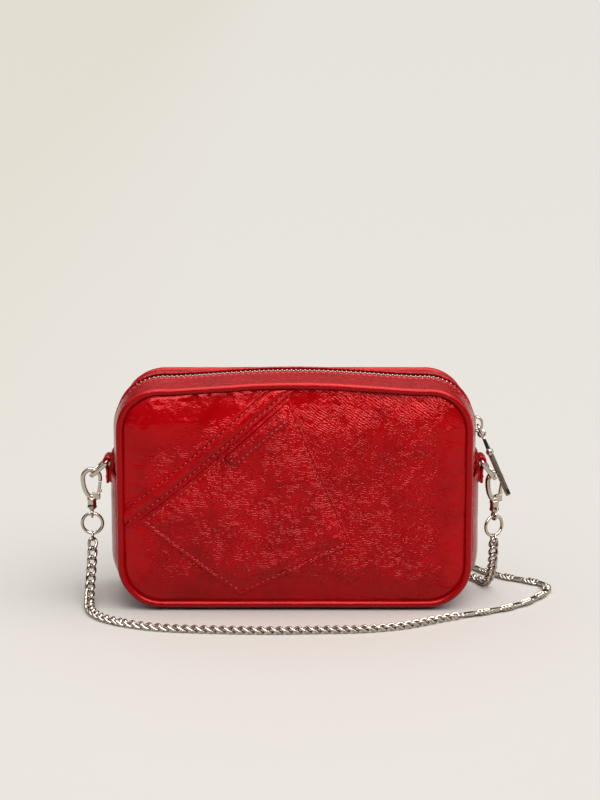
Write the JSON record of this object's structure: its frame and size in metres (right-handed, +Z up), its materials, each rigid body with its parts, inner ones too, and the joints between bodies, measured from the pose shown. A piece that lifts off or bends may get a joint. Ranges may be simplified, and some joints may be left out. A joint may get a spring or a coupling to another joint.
{
  "type": "small zip-top shoulder bag",
  "caption": "Small boxy zip-top shoulder bag in crinkled patent leather with padded front relief, diagonal band, piped edges and a clip-on chain strap.",
  "frame": {"origin": "on the ground under the middle of the bag", "axes": "+Z up, -Y out of the front panel, +X towards the zip slider's end"},
  "size_m": [0.2507, 0.1932, 0.1195],
  "materials": {
    "patent_leather": "glossy crinkled patent",
    "zip_tape": "woven herringbone tape",
    "polished_metal": "polished pale silver",
    "chain_metal": "polished pale silver chain",
    "lining_fabric": "plain woven cotton",
    "stiffener": "matt board"
  },
  "bodies": {
    "bag": {"front_panel": "patent_leather", "back_panel": "patent_leather", "front_piping": "patent_leather", "back_piping": "patent_leather", "gusset": "patent_leather", "zip_strip_front": "patent_leather", "zip_strip_back": "patent_leather", "tab_left": "patent_leather", "tab_right": "patent_leather", "diagonal_band": "patent_leather", "relief_patch": "patent_leather", "stitched_patch": "patent_leather", "zip_tape_front": "zip_tape", "zip_tape_back": "zip_tape", "zip_teeth_front": "polished_metal", "zip_teeth_back": "polished_metal", "zip_stop_left": "polished_metal", "zip_stop_right": "polished_metal", "lining": "lining_fabric", "slip_pocket": "lining_fabric", "base_board": "stiffener", "chain_left_drop": "chain_metal", "chain_front_run": "chain_metal", "chain_coil": "chain_metal", "chain_back_run": "chain_metal", "chain_right_drop": "chain_metal"},
    "slider": {"zip_slider": "polished_metal"},
    "pull_link": {"pull_link": "polished_metal"},
    "pull": {"pull_bar": "polished_metal"},
    "ring_left": {"ring_left": "polished_metal"},
    "hook_left": {"hook_left": "polished_metal"},
    "gate_left": {"gate_left": "polished_metal"},
    "swivel_left": {"swivel_left": "polished_metal"},
    "o_ring_left": {"o_ring_left": "polished_metal"},
    "ring_right": {"ring_right": "polished_metal"},
    "hook_right": {"hook_right": "polished_metal"},
    "gate_right": {"gate_right": "polished_metal"},
    "swivel_right": {"swivel_right": "polished_metal"},
    "o_ring_right": {"o_ring_right": "polished_metal"}
  },
  "joints": [
    {"name": "zip_slider_travel", "type": "hinge", "parent": "bag", "child": "slider", "pos_m": [0.068, 0, 0.093], "axis": [0, -1, 0], "range_deg": [0, 90]},
    {"name": "pull_link_swing", "type": "hinge", "parent": "slider", "child": "pull_link", "pos_m": [0.09625, 0, 0.0921], "axis": [0, -1, 0], "range_deg": [0, 50]},
    {"name": "pull_bar_swing", "type": "hinge", "parent": "pull_link", "child": "pull", "pos_m": [0.09819, 0, 0.08793], "axis": [0, -1, 0], "range_deg": [0, 80]},
    {"name": "ring_left_swing", "type": "hinge", "parent": "bag", "child": "ring_left", "pos_m": [-0.098, 0, 0.074], "axis": [0, 1, 0], "range_deg": [-3, 12], "deforming": ["chain_left_drop"]},
    {"name": "hook_left_swing", "type": "hinge", "parent": "ring_left", "child": "hook_left", "pos_m": [-0.10714, 0, 0.06548], "axis": [0, 1, 0], "range_deg": [-2, 12]},
    {"name": "gate_left_open", "type": "hinge", "parent": "hook_left", "child": "gate_left", "pos_m": [-0.10364, 0, 0.05527], "axis": [0, -1, 0], "range_deg": [0, 24], "stiffness_Nm_per_rad": 0.0015, "springref_deg": -8.59},
    {"name": "swivel_left_turn", "type": "hinge", "parent": "hook_left", "child": "swivel_left", "pos_m": [-0.10714, 0, 0.04947], "axis": [0, 0, 1], "continuous": true},
    {"name": "o_ring_left_swing", "type": "hinge", "parent": "swivel_left", "child": "o_ring_left", "pos_m": [-0.10714, 0, 0.04457], "axis": [1, 0, 0], "range_deg": [-15, 15]},
    {"name": "ring_right_swing", "type": "hinge", "parent": "bag", "child": "ring_right", "pos_m": [0.098, 0, 0.074], "axis": [0, -1, 0], "range_deg": [-3, 5], "deforming": ["chain_right_drop"]},
    {"name": "hook_right_swing", "type": "hinge", "parent": "ring_right", "child": "hook_right", "pos_m": [0.10552, 0, 0.06402], "axis": [0, -1, 0], "range_deg": [-2, 12]},
    {"name": "gate_right_open", "type": "hinge", "parent": "hook_right", "child": "gate_right", "pos_m": [0.10846, 0.00191, 0.05382], "axis": [0.5446, -0.8387, 0], "range_deg": [0, 24], "stiffness_Nm_per_rad": 0.0015, "springref_deg": -8.59},
    {"name": "swivel_right_turn", "type": "hinge", "parent": "hook_right", "child": "swivel_right", "pos_m": [0.10552, 0, 0.04802], "axis": [0, 0, 1], "continuous": true},
    {"name": "o_ring_right_swing", "type": "hinge", "parent": "swivel_right", "child": "o_ring_right", "pos_m": [0.10552, 0, 0.04312], "axis": [0.8387, 0.5446, 0], "range_deg": [-15, 15]}
  ]
}
